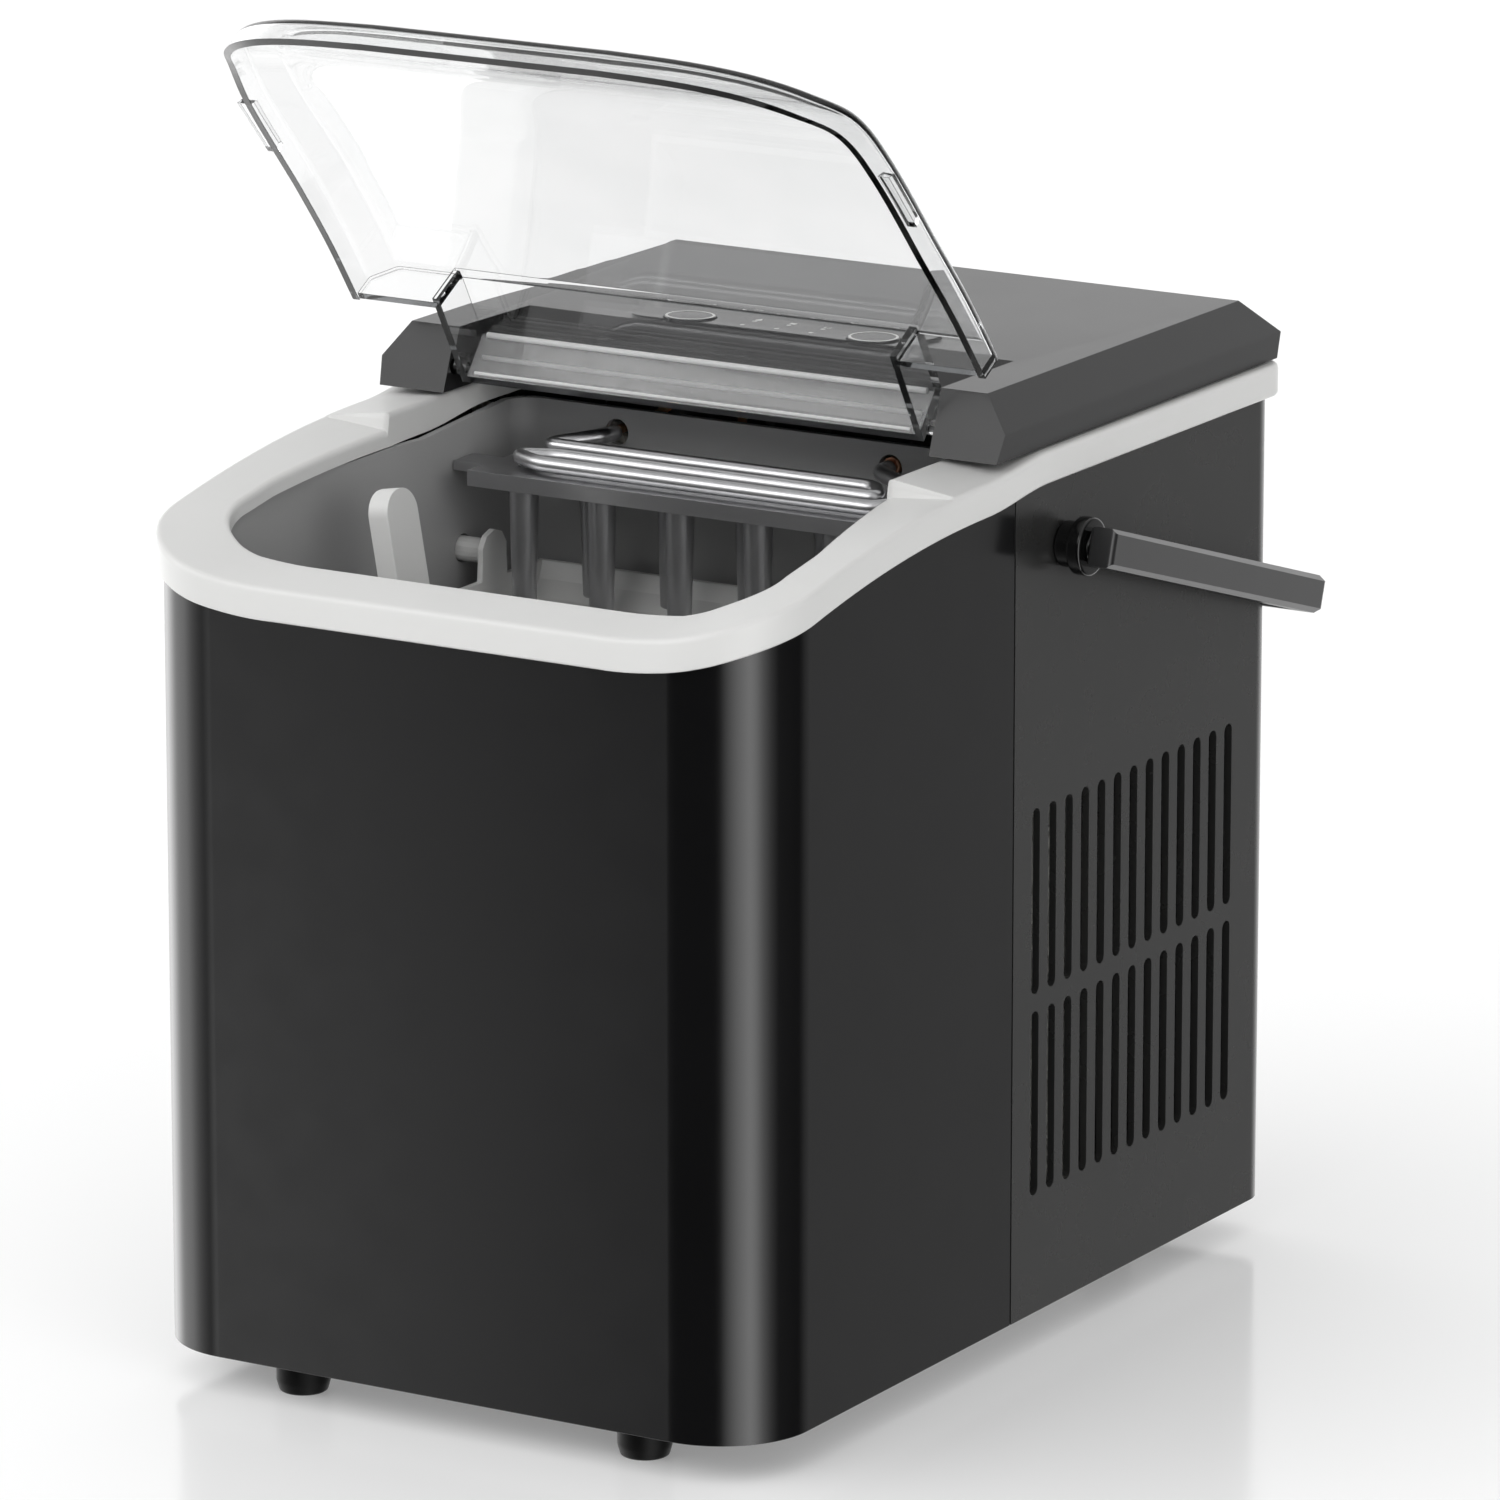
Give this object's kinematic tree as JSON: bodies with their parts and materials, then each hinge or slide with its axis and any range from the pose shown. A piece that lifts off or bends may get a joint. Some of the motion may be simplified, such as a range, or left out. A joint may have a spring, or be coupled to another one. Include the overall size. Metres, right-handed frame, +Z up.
{
  "type": "countertop ice maker",
  "caption": "Countertop ice maker with a light collar round an open ice bin, a raised clear lid, a dark body with side vents and a carry handle.",
  "frame": {"origin": "centre of the object's own bounding box in plan, at the height the feet stand on", "axes": "+Z up, -Y towards the front with the ice bin, +X to the right seen from the front"},
  "size_m": [0.2656, 0.34, 0.4281],
  "materials": {
    "shell": "gloss",
    "rear": "satin",
    "cover": "satin",
    "collar": "satin",
    "clear": "polished",
    "grey": "satin",
    "white": "satin",
    "rubber": "matte",
    "foam": "matte",
    "steel": "satin",
    "fins": "satin",
    "copper": "satin",
    "board": "satin",
    "compressor": "satin"
  },
  "bodies": {
    "casing": {"base_plate": "rear", "bulkhead": "foam", "cable_gland": "rubber", "capillary_tube": "copper", "compressor": "compressor", "compressor_mount_1": "rubber", "compressor_mount_2": "rubber", "compressor_mount_3": "rubber", "compressor_mount_4": "rubber", "condenser": "fins", "control_board": "board", "control_panel": "shell", "discharge_pipe": "copper", "drain_spout": "rear", "drip_grid": "white", "evaporator": "steel", "evaporator_coil": "steel", "fan_motor": "steel", "fan_shroud": "rear", "fill_hose": "white", "filter_drier": "copper", "foam_jacket": "foam", "foot_front_left": "rubber", "foot_front_right": "rubber", "foot_rear_left": "rubber", "foot_rear_right": "rubber", "front_shell": "shell", "handle_pivot_left": "cover", "handle_pivot_right": "cover", "hot_gas_valve": "steel", "ice_sensor_left": "shell", "ice_sensor_right": "shell", "rear_screw_1": "steel", "rear_screw_2": "steel", "rear_screw_3": "steel", "rear_screw_4": "steel", "rear_shell": "rear", "suction_pipe": "copper", "tank_liner": "grey", "top_cover": "cover", "tray_motor": "rear", "trim_collar": "collar", "water_pump": "shell", "water_sensor": "white"},
    "lid_body": {"lid": "clear", "lid_pin_left": "clear", "lid_pin_right": "clear"},
    "handle_body": {"carry_handle": "cover"},
    "power_button_body": {"power_button": "shell"},
    "size_button_body": {"size_button": "shell"},
    "basket_body": {"ice_basket": "white"},
    "scoop_body": {"ice_scoop": "collar"},
    "tray_body": {"water_tray": "white"},
    "pusher_body": {"ice_pusher": "grey"},
    "fan_body": {"fan_blade": "rear"},
    "drain_plug_body": {"drain_plug": "rubber"}
  },
  "joints": [
    {"name": "lid_hinge", "type": "hinge", "parent": "casing", "child": "lid_body", "pos_m": [0, -0.01817, 0.2967], "axis": [-1, 0, 0], "range_deg": [-60, 20]},
    {"name": "handle_hinge", "type": "hinge", "parent": "casing", "child": "handle_body", "pos_m": [0, 0.01703, 0.2565], "axis": [1, 0, 0], "range_deg": [0, 107]},
    {"name": "basket_lift", "type": "slide", "parent": "casing", "child": "basket_body", "axis": [0, 0, 1], "range_m": [0, 0.08]},
    {"name": "scoop_lift", "type": "slide", "parent": "basket_body", "child": "scoop_body", "axis": [0, 0, 1], "range_m": [0, 0.08]},
    {"name": "power_press", "type": "slide", "parent": "casing", "child": "power_button_body", "axis": [0, 0, -1], "range_m": [0, 0.0008], "stiffness_N_per_m": 300},
    {"name": "size_press", "type": "slide", "parent": "casing", "child": "size_button_body", "axis": [0, 0, -1], "range_m": [0, 0.0008], "stiffness_N_per_m": 300},
    {"name": "tray_tip", "type": "hinge", "parent": "casing", "child": "tray_body", "pos_m": [0, -0.01747, 0.238], "axis": [1, 0, 0], "range_deg": [0, 60]},
    {"name": "pusher_slide", "type": "slide", "parent": "casing", "child": "pusher_body", "axis": [0, -1, 0], "range_m": [0, 0.028]},
    {"name": "fan_spin", "type": "hinge", "parent": "casing", "child": "fan_body", "pos_m": [-0.0735, 0.09453, 0.112], "axis": [1, 0, 0], "continuous": true},
    {"name": "drain_plug_pull", "type": "slide", "parent": "casing", "child": "drain_plug_body", "axis": [-1, 0, 0], "range_m": [0, 0.016]}
  ],
  "couplings": [
    {"joint": "pusher_slide", "follows": "tray_tip", "m_per_rad": 0.0265}
  ]
}
